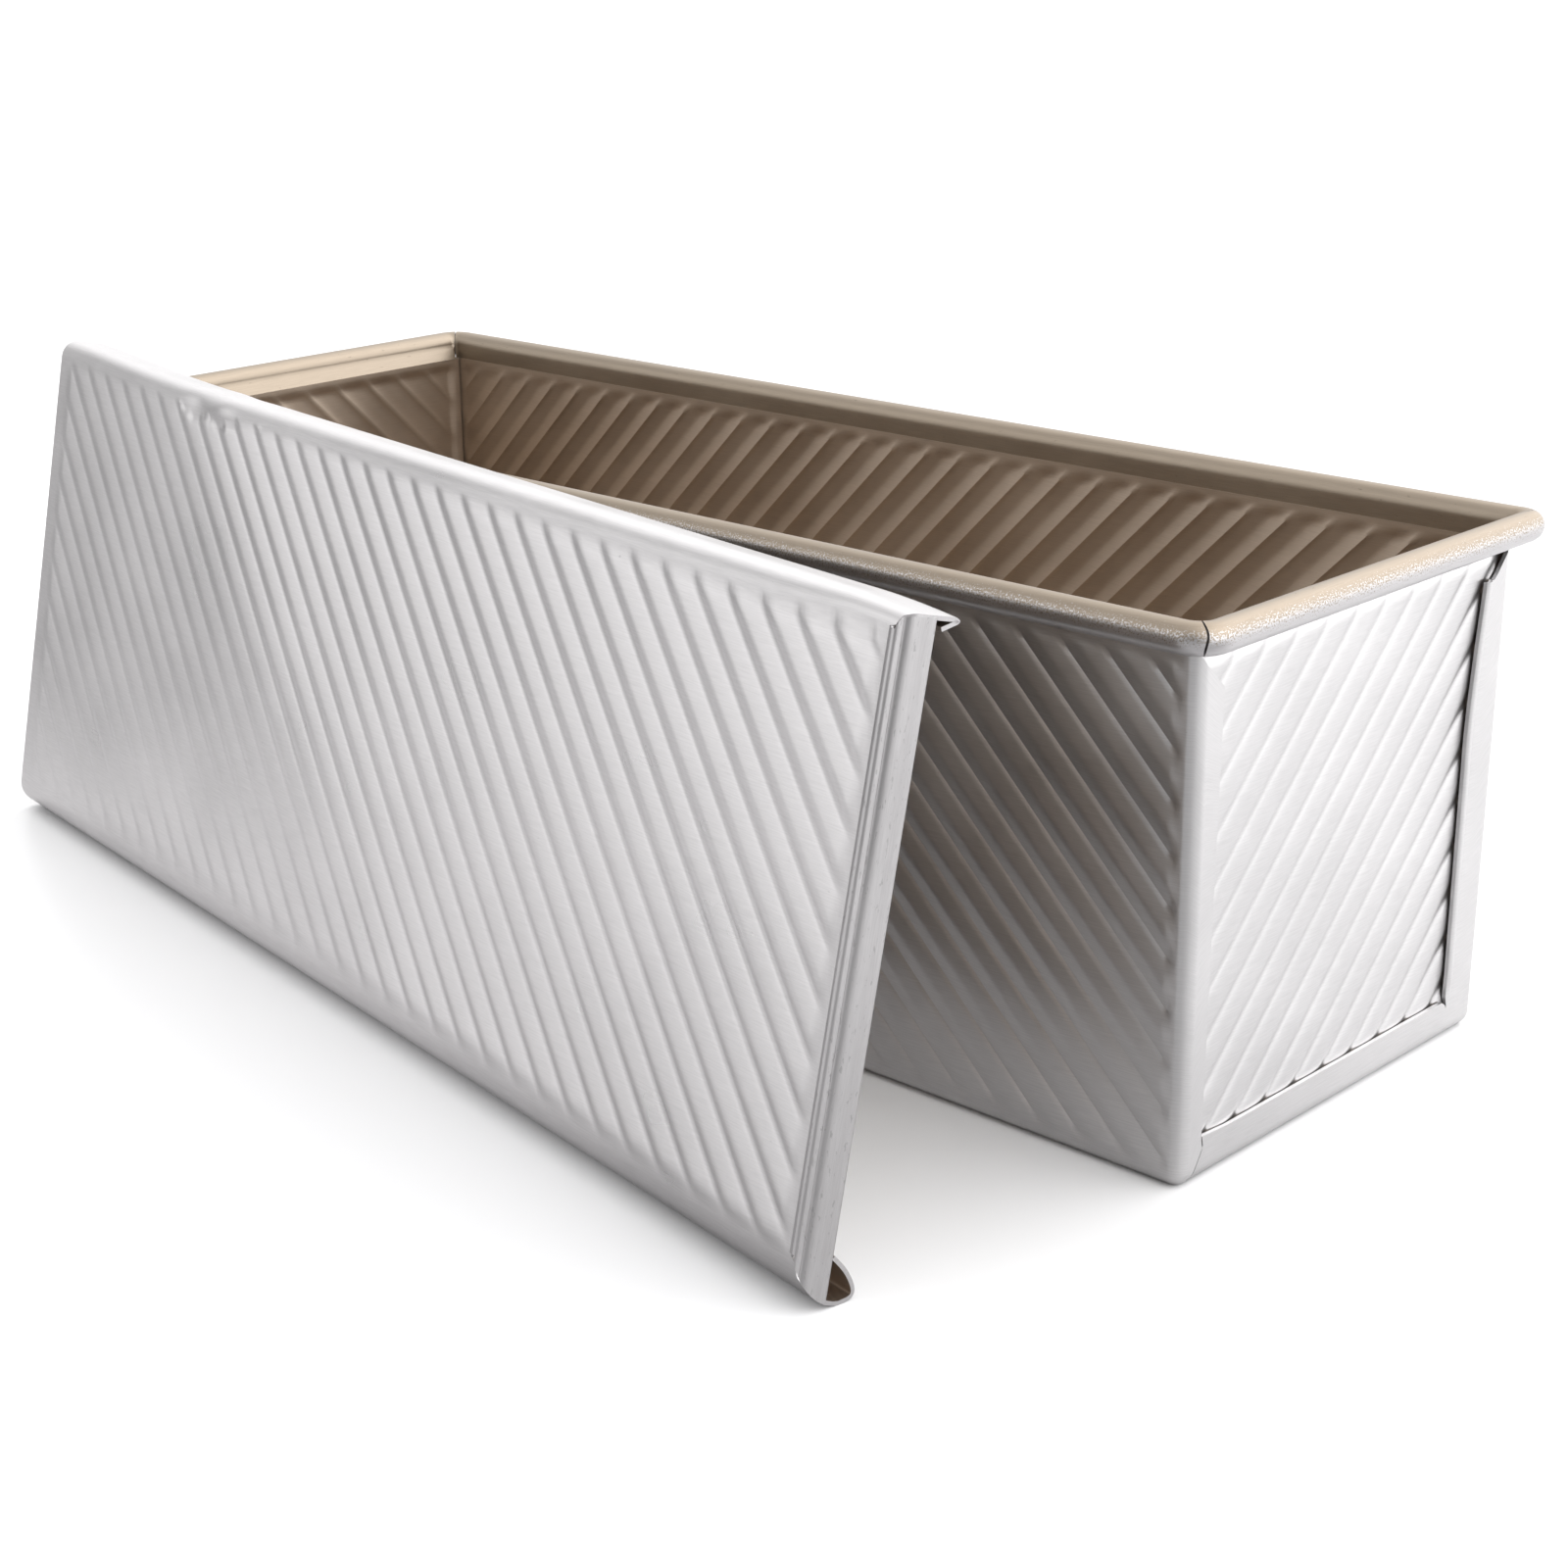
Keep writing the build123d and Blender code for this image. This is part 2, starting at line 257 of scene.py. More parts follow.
def ramp_and_fall(level, place, ramp, fall):
    """Height, 0 to 1, by the share of the way from one crease to the next.

    Up the ramp it is one minus a power of what is left of the ramp, and from there it
    falls by the same power of the way over. The rest of the fall is the mesh's last cell.
    """
    share = np.mod(np.round((level - place) / rib_step, 6), 1)
    left = np.clip(1 - share / ramp, 0, 1)
    over = np.clip((share - ramp) / (1 - ramp), 0, 1)
    return 1 - left**swell_power - fall * over**swell_power


def framed(place, low, high, fade):
    """One inside an interval, falling to nothing over the fade's length at both ends."""
    return np.clip((place - low) / fade, 0, 1) * np.clip((high - place) / fade, 0, 1)


def ridge(level, place, half, fullness):
    """A rounded ridge: one minus a power of the distance from its middle line."""
    away = np.abs(level - place - rib_step * np.round((level - place) / rib_step)) / np.sqrt(2)
    return 1 - np.clip(away / half, 0, 1) ** fullness


print("a rib's height over one step:", ramp_and_fall(np.linspace(0, 10, 6), 0, 0.45, 0.72).round(2))


# %% [markdown]
# Outlines of the flanges
#
# On the real pan the ends of the walls are cut to shape before they are folded, so each
# flange has its own outline. The outline could be cut with a boolean, but that would
# break up the mesh. Here a few functions of height give the free edges, the slanted
# upper ends and the mitre, and the next step bends one even grid to them.

# %% Outlines of the flanges
front_edge_heights, front_edge_places = [6.65, 8.3, 96.0], [-45.35, -45.8, -45.6]
back_edge_place = 40.35
top_draw, top_draw_start, top_draw_run = 3.1, 66.0, 30.0
foot_draw, foot_draw_top, foot_draw_run = 0.7, 10.5, 3.0
slant_start, slant_turn = 0.8, 0.77
# The fall round the fold, the fall over the flange, and how far on that takes
front_slant, back_slant = (2.8, 4.5, 4.9), (2.3, 4.1, 3.65)
mitre_on, mitre_rise = [0, 0.6, 4.2], [0, 2.65, 8.36]


def front_edge(z):
    """The front flange's free edge: straight pieces, with a small hook at the mitre."""
    return np.interp(z, front_edge_heights, front_edge_places)


def back_edge(z):
    """The back flange's free edge: upright, and drawn in by powers near top and foot."""
    above = np.clip((z - top_draw_start) / top_draw_run, 0, 1) ** 1.3
    below = np.clip((foot_draw_top - z) / foot_draw_run, 0, 1) ** 1.5
    return -(back_edge_place + top_draw * above + foot_draw * below)


def upper_end(on, turned, slant):
    """The brow, less a fall by how far round the fold and one by how far on a point is."""
    fold_fall, flange_fall, flange_run = slant
    round_fold = np.clip((turned - slant_start) / slant_turn, 0, 1)
    return brow - fold_fall * round_fold - flange_fall * np.clip(on / flange_run, 0, 1)


def mitre(on):
    """How far up round the lower fold the front flange starts."""
    return np.interp(on, mitre_on, mitre_rise)


def no_mitre(on):
    """Nothing anywhere: the back flange starts right at the floor."""
    return 0 * on


half_up = brow / 2
print("flange edges half way up:", *(round(float(edge(half_up)), 2) for edge in (front_edge, back_edge)))

# %% [markdown]
# Front and back walls
#
# Each wall is the side of the folded strip. It could be a bent plane with a Solidify
# modifier, but then its ribs would be hard to keep in line with the mesh, so it is worked
# out as one grid. The grid goes along the wall and round the two upright folds onto the
# ends, where it becomes the flanges. The other way it goes from the floor round the lower
# fold and up to the rim's foot. Where both folds meet, the two turns make a ball corner.
# The front flanges stop on a mitre, and the back ones are wide and beaded along their edge.

# %% Sizes of the walls
fold_cells, flange_cells, border_cells = 10, 4, 11
wall_ramp, wall_fall = 0.45, 0.72
wall_rib_gap, wall_rib_end = 0.1, 0.5
wall_rib_foot, wall_rib_head, wall_rib_fade = 0.4, 1.9, 1.2
edge_bead_height, edge_bead_inset, edge_bead_half = 0.65, 0.9, 0.85
edge_bead_start, edge_bead_run = 9.0, 4.0
flange_ways = {
    "front": (front_edge, front_slant, mitre, 0.0),
    "back": (back_edge, back_slant, no_mitre, edge_bead_height),
}
print("a wall is", round(brow - fold_radius, 2), "mm high between its lower fold and the rim's foot")

# %% Wall grid


def wall_grid(kind, depth):
    """The wall with its folds and flanges, as seen from its own outside, +X to the right.

    Sideways a point is on the straight, turned by an angle round an upright fold, or some
    way on over the flange. Upwards it is turned round the lower fold, or higher. On the
    folds its place is the radius times the sines and cosines of the two turns.
    """
    free_edge, slant, start_of, bead = flange_ways[kind]
    pitch = rib_step / rib_cells
    bend = np.radians(np.linspace(0, 90, fold_cells + 1)[1:])
    inner = np.linspace(0, 1, flange_cells + 1)[1:]
    outer = np.linspace(flange_border, 0, border_cells + 1)[1:]
    half_straight = pan_length / 2 - fold_radius
    straight = stations(-half_straight, half_straight, pitch, wall_rib_place)
    tail = len(bend) + len(inner) + len(outer)

    def both_ends(start, middle, end):
        return np.concatenate([start[::-1], middle, end])[None, :]

    level = 0 * straight
    x_flat = both_ends(np.full(tail, straight[0]), straight, np.full(tail, straight[-1]))
    side = both_ends(np.full(tail, -1.0), level, np.full(tail, 1.0))
    round_end = np.concatenate([bend, np.full(tail - len(bend), pi / 2)])
    turned = both_ends(round_end, level, round_end)
    near_end = np.concatenate([0 * bend, inner, np.ones(len(outer))])
    near = both_ends(near_end, level, near_end)
    left_end = np.concatenate([np.full(len(bend) + len(inner), flange_border), outer])
    left = both_ends(left_end, level, left_end)
    fold = fold_radius * pi / 2
    up_fold = np.linspace(0, fold, fold_cells + 1)[:-1]
    up_wall = fold - fold_radius + stations(fold_radius, brow, pitch)
    rise = np.concatenate([up_fold, up_wall])[:, None]

    def flange_room(rise):
        """From the upright fold to the flange's free edge."""
        above = rise - fold + fold_radius
        return free_edge(above) + pan_width / 2 - fold_radius + above * tan(wall_lean)

    def way_on(room):
        """Shares of the room first, then steps back from the free edge over its border."""
        return np.where(near < 1, near * (room - flange_border), room - left) * (near > 0)

    # The flange's width is taken at the height where the point would be without a mitre
    on = way_on(flange_room(rise))
    start = start_of(on) * (near > 0)
    full = fold - fold_radius + brow
    rise = start + rise * (upper_end(on, turned, slant) - brow + full - start) / full
    room = flange_room(rise)
    on = way_on(room)

    height = np.maximum(rise - fold, 0) + fold_radius
    down = np.clip((fold - rise) / fold_radius, 0, pi / 2)
    pressed = ramp_and_fall(x_flat + height, wall_rib_place, wall_ramp, wall_fall) - 0.5
    pressed = wall_rib_height * pressed
    first, last = straight[0] + wall_rib_gap, straight[-1] - wall_rib_gap
    pressed = pressed * framed(x_flat, first, last, wall_rib_end) * (turned == 0)
    pressed = pressed * framed(height, fold_radius + wall_rib_foot, brow - wall_rib_head, wall_rib_fade)
    beaded = np.exp(-((room - on - edge_bead_inset) / edge_bead_half) ** 4) * (near > 0)
    beaded = bead * beaded * np.clip((height - edge_bead_start) / edge_bead_run, 0, 1)
    reach = fold_radius - depth
    spread = height * tan(wall_lean)
    x = x_flat + side * (spread * (turned > 0) + np.sin(turned) * np.cos(down) * (reach + beaded))
    y = -pan_width / 2 + fold_radius - spread + on - np.cos(turned) * np.cos(down) * (reach + pressed)
    z = height - np.sin(down) * reach
    return np.stack(np.broadcast_arrays(x, y, z), -1)


print("points of the front wall, up and along:", wall_grid("front", 0.0).shape[:2])

# %% Walls


def on_pan(piece, node):
    """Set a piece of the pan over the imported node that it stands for."""
    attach(piece, "pan")
    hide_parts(node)
    return piece


def turned_round(grid, half_turn):
    """A grid as it is, or turned half round for the back or the left end."""
    return grid * (-1, -1, 1) if half_turn else grid


def wall_piece(name, kind, half_turn):
    """A wall from two grids: its outer face, and its inner one a sheet deeper."""
    face, back = (turned_round(wall_grid(kind, depth), half_turn) for depth in (0.0, sheet))
    return on_pan(sheet_piece(name, face, back), "body_sheet")


front_wall = wall_piece("front_wall", "front", False)
back_wall = wall_piece("back_wall", "back", True)

# %% [markdown]
# The floor
#
# The floor lies between the lower folds, with its ribs pressed upwards so that the pan
# stands on flat lands. At each end it turns up into a flange behind which the end plate
# sits. The flange could be part of the floor's grid, but its slanted ends need columns of
# their own, so it is a second grid that starts where the floor stops.

# %% Floor and its end flanges
floor_cells, floor_ridge_half, floor_rib_fade = 8, 2.6, 2.0
flange_rows, flange_columns = 6, 60
mitre_lift, mitre_lift_share = 0.055, 10
mitre_tip = (10.8, 3.7)
foot_nip, foot_nip_start, foot_nip_run = 1.5, 7.2, 1.3


def floor_grid(depth):
    """The floor between its folds, raised to a ridge over each slanted line."""
    half_x, half_y = pan_length / 2 - fold_radius, pan_width / 2 - fold_radius
    x = stations(-half_x, half_x, rib_step / floor_cells, floor_rib_place)
    y = stations(-half_y, half_y, rib_step / floor_cells, 0.0)
    x, y = np.meshgrid(x, y)
    lift = ridge(x - y, floor_rib_place, floor_ridge_half, 2) * floor_rib_height
    lift = lift * framed(x, -half_x, half_x, floor_rib_fade) * framed(y, -half_y, half_y, floor_rib_fade)
    return np.stack([x, y, depth + lift], -1)


def floor_flange_grid(side, depth):
    """Up the end's flange: straight shares of the way from the mitre to the back edge."""
    fold = fold_radius * pi / 2
    up_flange = np.linspace(floor_flange_top, fold, flange_rows + 1)[:-1]
    rise = np.concatenate([up_flange, np.linspace(fold, 0, fold_cells + 1)])[:, None]
    share = np.linspace(0, 1, flange_columns + 1)[None, :]
    # A little higher beside the mitre, and nipped off at the back flange's foot
    rise = rise * (1 + mitre_lift * np.clip(1 - share * mitre_lift_share, 0, 1) * (rise > fold))
    height = np.maximum(rise - fold, 0) + fold_radius
    spread = height * tan(wall_lean)
    start = fold_radius - pan_width / 2 - spread + mitre_gap
    start = start + np.interp(rise, mitre_rise + [mitre_tip[0]], mitre_on + [mitre_tip[1]])
    nip = foot_nip * np.clip((height - foot_nip_start) / foot_nip_run, 0, 1)
    y = start + share * (-back_edge(height) - nip - start)
    down = np.clip((fold - rise) / fold_radius, 0, pi / 2)
    reach = fold_radius - depth
    x = side * (pan_length / 2 - fold_radius + spread + np.cos(down) * reach)
    z = height - np.sin(down) * reach
    return np.stack(np.broadcast_arrays(x, y, z), -1)


floor_panel = sheet_piece("floor_panel", floor_grid(0.0), floor_grid(sheet), falling=False)
right_floor_flange = sheet_piece(
    "right_floor_flange", floor_flange_grid(1, 0.0), floor_flange_grid(1, sheet)
)
left_floor_flange = sheet_piece(
    "left_floor_flange", floor_flange_grid(-1, 0.0), floor_flange_grid(-1, sheet)
)
floor_pieces = [floor_panel, right_floor_flange, left_floor_flange]
for piece in floor_pieces:
    on_pan(piece, "body_sheet")

# %% [markdown]
# The end plates
#
# Each end is a ribbed plate tucked behind the flanges. Its full ribs stand outwards and
# run in under the flanges, so the narrow valleys between them show as small notches.
# One grid makes both plates: the left one is the right one turned half round.

# %% End plates
plate_foot, plate_side_gap = 1.3, 1.3
plate_border, plate_rib_fade = 0.8, 1.5
plate_rib_foot, plate_rib_head = 2.4, 1.5
plate_fullness = 3.0


def plate_grid(depth):
    """The plate between its folds, with broad ridges that leave narrow valleys."""
    side = half_width(plate_foot) - plate_side_gap
    y = stations(-side, side, rib_step / rib_cells, plate_rib_place + rib_step / 2)
    z = stations(plate_foot, brow, rib_step / rib_cells)
    y, z = np.meshgrid(y, z)
    ridges = ridge(y - z, plate_rib_place, rib_step / np.sqrt(8), plate_fullness)
    lift = plate_rise + ridges * plate_rib_height
    flat = side - plate_border
    lift = lift * framed(y, -flat, flat, plate_rib_fade)
    lift = lift * framed(z, plate_rib_foot, brow - plate_rib_head, plate_rib_fade)
    # The flat border widens upwards, to stay close to the leaning walls
    in_border = np.clip((np.abs(y) - side + plate_border) / plate_border, 0, 1)
    y = y + np.sign(y) * in_border * (z - plate_foot) * tan(wall_lean)
    return np.stack([half_length(z) - plate_depth - depth + lift, y, z], -1)


def end_plate_piece(name, node, half_turn):
    """An end plate from two grids: its outer face, and its inner one a sheet deeper."""
    face, back = (turned_round(plate_grid(depth), half_turn) for depth in (0.0, sheet))
    return on_pan(sheet_piece(name, face, back, falling=False), node)


right_plate = end_plate_piece("right_plate", "right_end_plate", False)
left_plate = end_plate_piece("left_plate", "left_end_plate", True)

# %% [markdown]
# The rolled rim
#
# The upper edge of each wall and plate is rolled outwards over a wire, which keeps the
# mouth stiff and leaves no sharp edge. A curve with a bevel would give a plain tube, but
# the roll is open and its corners are cut, so its section is carried along each side and
# round half of each corner as a grid. It rises from the wall, goes over the wire and
# tucks in below it. The cut where two sides meet isn't straight: it wanders a little,
# and at one far corner it laps right over.

# %% Rim's section and cuts
neck_rows, roll_rows, roll_start, roll_end = 5, 48, 180.0, -120.0
# Each swing: degrees round the corner, its middle as an angle round the wire, and its fade
swing_outside, swing_outside_middle, swing_outside_fade = 3.75, radians(25), radians(35)
swing_on_top, swing_on_top_middle, swing_on_top_fade = 1.5, radians(90), radians(22)
lap_degrees, lap_start, lap_run, lap_power = 45.0, 60, 63, 1.8


def roll_section(radius, neck):
    """Out and up from the wire's middle: the neck, then the round, and each point's angle."""
    round_the_wire = np.linspace(roll_start, roll_end, roll_rows + 1)[1:]
    angle = np.radians(np.concatenate([np.full(neck_rows, roll_start), round_the_wire]))
    out, up = radius * np.cos(angle), radius * np.sin(angle)
    up[:neck_rows] = np.linspace(-neck, 0, neck_rows)
    return out, up, angle


def wander(angle):
    """The cut's way round a corner in degrees: a swing one way outside, and back on top.

    Each swing is e to the minus square of the distance from its middle.
    """
    outside = (angle - swing_outside_middle) / swing_outside_fade
    on_top = (angle - swing_on_top_middle) / swing_on_top_fade
    return swing_outside * np.exp(-(outside**2)) - swing_on_top * np.exp(-(on_top**2))


def wander_back(angle):
    """The same cut for the side that it meets: as far the other way."""
    return -wander(angle)


def lap(angle):
    """The cut of the corner that laps over: it runs off along the side, on the inside."""
    return lap_degrees * np.clip((np.degrees(angle) - lap_start) / lap_run, 0, 1) ** lap_power


def lap_back(angle):
    """The same lap for the side that it meets: as far the other way."""
    return -lap(angle)


print("widest wander of a cut, in degrees:", wander(np.linspace(0, pi, 91)).max().round(2))

# %% Rim grid
rim_cells, corner_cells, half_corner = 64, 12, 45
lapped, corner_bulge = (lap, lap_back), 0.9
# Degrees round the wire where the coating starts to thin out, and how far that takes
thin_coat_from, thin_coat_over = -62, 150


def rim_grid(half_run, half_across, step, strays, section_radius):
    """One side along +X at -Y, then half of both corners, cut by the two strays.

    A corner that laps over bulges too, by the square of the sine of twice the turn.
    """
    out, up, angle = roll_section(section_radius, roll_height - brow)
    cut = degrees(seam_gap / 2 / rim_corner)
    corner = np.linspace(0, 1, corner_cells + 1)[1:]
    level, end = np.zeros(rim_cells + 1), np.ones(corner_cells)
    share = np.concatenate([corner[::-1], level, corner])[None, :]
    side = np.concatenate([-end, level, end])[None, :]
    straight = np.linspace(-half_run, half_run, rim_cells + 1)
    along = np.concatenate([-half_run * end, straight, half_run * end])[None, :]
    first, last = (stray(angle)[:, None] for stray in strays)
    turned = np.radians(share * (half_corner - cut + np.where(side < 0, first, last)))
    laps = np.where(side < 0, strays[0] in lapped, strays[1] in lapped)
    reach = rim_corner + out[:, None] + corner_bulge * laps * np.sin(2 * turned) ** 2
    # The neck stands back to meet an end plate, less and less on the way round a corner
    foot = np.clip(-up / (roll_height - brow), 0, 1) * (angle >= pi)
    reach = reach - step * foot[:, None] * (1 - share**3)
    x = along + side * np.sin(turned) * reach
    y = -(half_across - rim_corner) - np.cos(turned) * reach
    z = roll_height + up[:, None] + 0 * x
    return np.stack([x, y, z], -1), angle


print("the rim runs", round(2 * run_x, 1), "and", round(2 * run_y, 1), "mm between its corners")

# %% Rims


def rim_piece(name, node, half_run, half_across, step, strays, quarter_turns):
    """One side's roll with its half corners, spun to its place by quarter turns."""
    face, angle = rim_grid(half_run, half_across, step, strays, roll_outer)
    back, _ = rim_grid(half_run, half_across, step, strays, roll_inner)
    c, s = round(cos(quarter_turns * pi / 2)), round(sin(quarter_turns * pi / 2))
    spin = np.array([[c, s, 0], [-s, c, 0], [0, 0, 1]])
    # Coated inside and over the top, thinning out over the roll to bare steel below
    coat = np.clip((np.degrees(angle) - thin_coat_from) / thin_coat_over, 0, 1)[:, None]
    piece = sheet_piece(name, face @ spin, back @ spin, face_coat=coat, back_coat=0.0)
    return on_pan(piece, node)


right_strays, left_strays = (wander_back, lap_back), (wander_back, wander_back)
rims = [
    rim_piece("front_rim", "body_sheet", run_x, wire_y, 0.0, (wander, wander), 0),
    rim_piece("right_rim", "right_end_plate", run_y, wire_x, plate_depth, right_strays, 1),
    rim_piece("back_rim", "body_sheet", run_x, wire_y, 0.0, (lap, wander), 2),
    rim_piece("left_rim", "left_end_plate", run_y, wire_x, plate_depth, left_strays, 3),
]

# %% [markdown]
# Where the cover stands
#
# The cover is drawn flat, with u along it, v across it and its outer face up, and is
# then stood against the pan. It could be modelled in place, but flat it is easier to
# think about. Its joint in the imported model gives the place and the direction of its
# lower fold, and the angle it leans at gives the rest.

# %% Where the cover stands
tip_joint = next(joint for joint in frame["joints"] if joint["name"] == "cover_tip")
along_u = np.array(tip_joint["axis"], dtype=float)
along_u /= np.linalg.norm(along_u)
level_back = np.array([-along_u[1], along_u[0], 0.0])
outward_n = np.array([0, 0, sin(cover_lean)]) - level_back * cos(cover_lean)
across_v = np.cross(outward_n, along_u)
fold_middle = np.array(tip_joint["pos_m"], dtype=float) / mm
cover_origin = fold_middle - cover_bend * across_v + cover_bend * outward_n
print("cover origin", cover_origin.round(2), "facing", outward_n.round(3))


def stood(u, v, n):
    """From the flat cover's u, v and height to the standing cover's place."""
    u, v, n = np.broadcast_arrays(u, v, n)
    return cover_origin + u[..., None] * along_u + v[..., None] * across_v + n[..., None] * outward_n


# %% [markdown]
# The cover's section
#
# A cover like this is bent at both long sides, first down and then back under itself, so
# that it runs on the pan's rim. This one has been used and knocked: its crown isn't quite
# straight but rises to the right, and its last stretch is pressed flat. So the section is
# a function of the place along the cover, which a plain extrusion couldn't be.

# %% Width and bends of the cover
crown_level, crown_rise, crown_rise_run = 118.6, 2.4, 320.0
crown_lift, crown_lift_run = 1.7, 40.0
crown_drop, crown_drop_start, crown_drop_run = 1.4, 316.0, 19.0
low_bend_left, low_bend_more = 6.0, 3.3
high_bend_left, high_bend_less, tightening_start, tightening_run = 4.4, 1.9, 300.0, 35.0


def crown(u):
    """The cover's width along it: a level, a power of u, a bell at the left, and a drop."""
    rise = crown_rise * (u / crown_rise_run) ** 1.3
    rise = rise + crown_lift * np.exp(-((u / crown_lift_run) ** 2))
    drop = np.clip((u - crown_drop_start) / crown_drop_run, 0, 1) ** 2
    return crown_level + rise - crown_drop * drop


def lower_bend(u):
    """The lower side's bend: it widens evenly along the cover."""
    return low_bend_left + low_bend_more * u / cover_length


def upper_bend(u):
    """The upper side's bend: even, and then evenly tighter over the last stretch."""
    return high_bend_left - high_bend_less * np.clip((u - tightening_start) / tightening_run, 0, 1)


print("cover width at both ends:", [round(float(crown(u)), 2) for u in (0.0, cover_length)])

# %% Curls and lip in section
side_place, side_foot, turn_place = 0.32, -10.5, 0.95
# Across and up, where the curl is crushed, and how much more where it is whole
turn_crushed, turn_more = (1.6, -10.9), (2.4, -1.0)
slant_crushed, slant_more = (1.2, 3.0), (4.1, 2.0)
lowest_crushed, lowest_more, slant_sag = -12.3, -1.4, 0.5
slant_rows, turn_rows, side_rows, bend_rows = 6, 9, 5, 11


def curl_section(bend, crushed):
    """From a curl's end to the face: a slant, a tight turn, a straight side and a bend.

    The tight turn is a curve drawn by three points: with t along it, the shares of the
    points are (1-t) squared, 2t(1-t) and t squared.
    """
    whole = np.clip(1 - crushed, 0, 1)
    turn_v, turn_n = (size + more * whole for size, more in zip(turn_crushed, turn_more))
    slant = np.linspace(1, 0, slant_rows + 1)[:-1, None]
    reach_v, reach_n = (size + more * whole for size, more in zip(slant_crushed, slant_more))
    slant_v = turn_v + slant * reach_v
    slant_n = turn_n + slant * reach_n - slant_sag * whole * np.sin(pi * slant)
    t = np.linspace(0, 1, turn_rows + 1)[:, None]
    lowest_n = lowest_crushed + lowest_more * whole
    curve_v = (1 - t) ** 2 * turn_v + 2 * t * (1 - t) * turn_place + t**2 * side_place
    curve_n = (1 - t) ** 2 * turn_n + 2 * t * (1 - t) * lowest_n + t**2 * side_foot
    side = np.linspace(0, 1, side_rows + 1)[1:-1, None]
    side_v, side_n = side_place * (1 - side) + 0 * bend, side_foot - side * (side_foot + bend)
    angle = np.linspace(0, pi / 2, bend_rows + 1)[:, None]
    bend_v, bend_n = bend * (1 - np.cos(angle)), bend * (np.sin(angle) - 1)
    wide = np.shape(bend)[-1]
    return [
        np.concatenate([np.broadcast_to(part, (len(part), wide)) for part in parts])
        for parts in ((slant_v, curve_v, side_v, bend_v), (slant_n, curve_n, side_n, bend_n))
    ]


def lip_outside(n):
    """How far along the lip's outer surface is at each depth: a bead, then a quarter oval."""
    bead_tip = bead_middle[0] + bead_radii[0]
    in_bead = np.sqrt(np.clip(1 - ((n - bead_middle[1]) / bead_radii[1]) ** 2, 0, 1))
    in_oval = np.sqrt(np.clip(1 - ((n - lip_foot) / lip_round[1]) ** 2, 0, 1))
    bead, oval = bead_middle[0] + bead_radii[0] * in_bead, lip_line + lip_round[0] * in_oval
    below_bead = np.where(n < lip_foot, lip_line + lip_round[0], np.maximum(oval, bead_tip))
    return np.where(n > -0.01, lip_start, np.where(n > bead_middle[1], bead, below_bead))


print("the lip stands out to", lip_outside(np.array([0.0, -2.0, -5.0])).round(2), "mm along the cover")

# %% [markdown]
# The cover's shell
#
# The plate and its two curls are one sheet, so they are one grid: along the cover one
# way, and the other way from the lower curl's end, round the lower edge, over the face
# and round the upper edge into its curl. The ribs are added to the face's height. They
# are fainter to the left, where this cover's face has been worn and flattened. The crown
# has a kink near its left end, made of a dip and a bulge side by side.

# %% Cover's shell
face_rows = range(9, 104)
crush_start, crush_run = 308.0, 22.0
kink_depth, kink_places, kink_half, kink_top, kink_fade = 0.5, (78.0, 90.0), 5.0, 112.0, 4.0
cover_ramp, cover_fall = 0.30, 0.90
rib_ends, rib_end_fade = (5.3, 329.8), 1.6
rib_sides, rib_side_fade, rib_rows = (8.0, 116.2), 3.5, (9.5, 114.8)
faint_share, faint_start, faint_run = 0.42, 165.0, 50.0
drawn_out = 10.0


def bell(u, middle):
    """E to the minus square of the distance from the middle, in kinks' half widths."""
    return np.exp(-(((u - middle) / kink_half) ** 2))


def shell_grid(depth):
    """The section at each place along, with ribs on the face by where u and v add up."""
    pitch = rib_step / cover_rib_cells
    u = stations(0, lip_start, pitch, cover_rib_place)[None, :]
    low_v, low_n = curl_section(lower_bend(u), 0 * u)
    high_v, high_n = curl_section(upper_bend(u), np.clip((u - crush_start) / crush_run, 0, 1))
    face_v = (pitch * np.array(face_rows))[:, None] + 0 * u
    v = np.concatenate([low_v, face_v, crown(u) - high_v[::-1]])
    n = np.concatenate([low_n, 0 * face_v, high_n[::-1]])
    kink = bell(u, kink_places[1]) - bell(u, kink_places[0])
    n = n + kink_depth * kink * np.clip((v - kink_top) / kink_fade, 0, 1)
    inner_v, inner_n = offset_path(v, n, depth)
    lift = ramp_and_fall(u + v, cover_rib_place, cover_ramp, cover_fall) * cover_rib_height
    lift = lift * framed(u, *rib_ends, rib_end_fade) * framed(v, *rib_sides, rib_side_fade)
    lift = lift * (v >= rib_rows[0]) * (v <= rib_rows[1])
    faint = np.clip((u + v - faint_start) / faint_run, 0, 1)
    lift = lift * (faint_share + (1 - faint_share) * faint**2 * (3 - 2 * faint)) * (np.abs(n) < 0.02)
    # The last stretch is drawn out to the lip's curve
    last = lip_start - drawn_out
    u = np.where(u > last, last + (u - last) * (lip_outside(n) - last) / drawn_out, u)
    return stood(u, inner_v, inner_n + lift)


def on_lid(piece):
    """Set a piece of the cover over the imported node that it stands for."""
    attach(piece, "lid")
    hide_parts("cover")
    return piece


cover_shell = on_lid(sheet_piece("cover_shell", shell_grid(0.0), shell_grid(sheet)))

# %% [markdown]
# The cover's lip
#
# The end of the cover is folded down as a stop that meets the pan's end. The lip starts
# with a small groove and a bead, turns down in a large round and ends in a hem. It could
# be bevelled from a box, but a profile of arcs keeps the bead crisp. It has the same
# length at each depth as the shell's end has, so it closes the cover's corners as well.

# %% Cover's lip
hem_middle, hem_radii = (334.50, -6.05), (0.58, 0.55)
lip_columns, lip_sheet_share = 96, 0.6


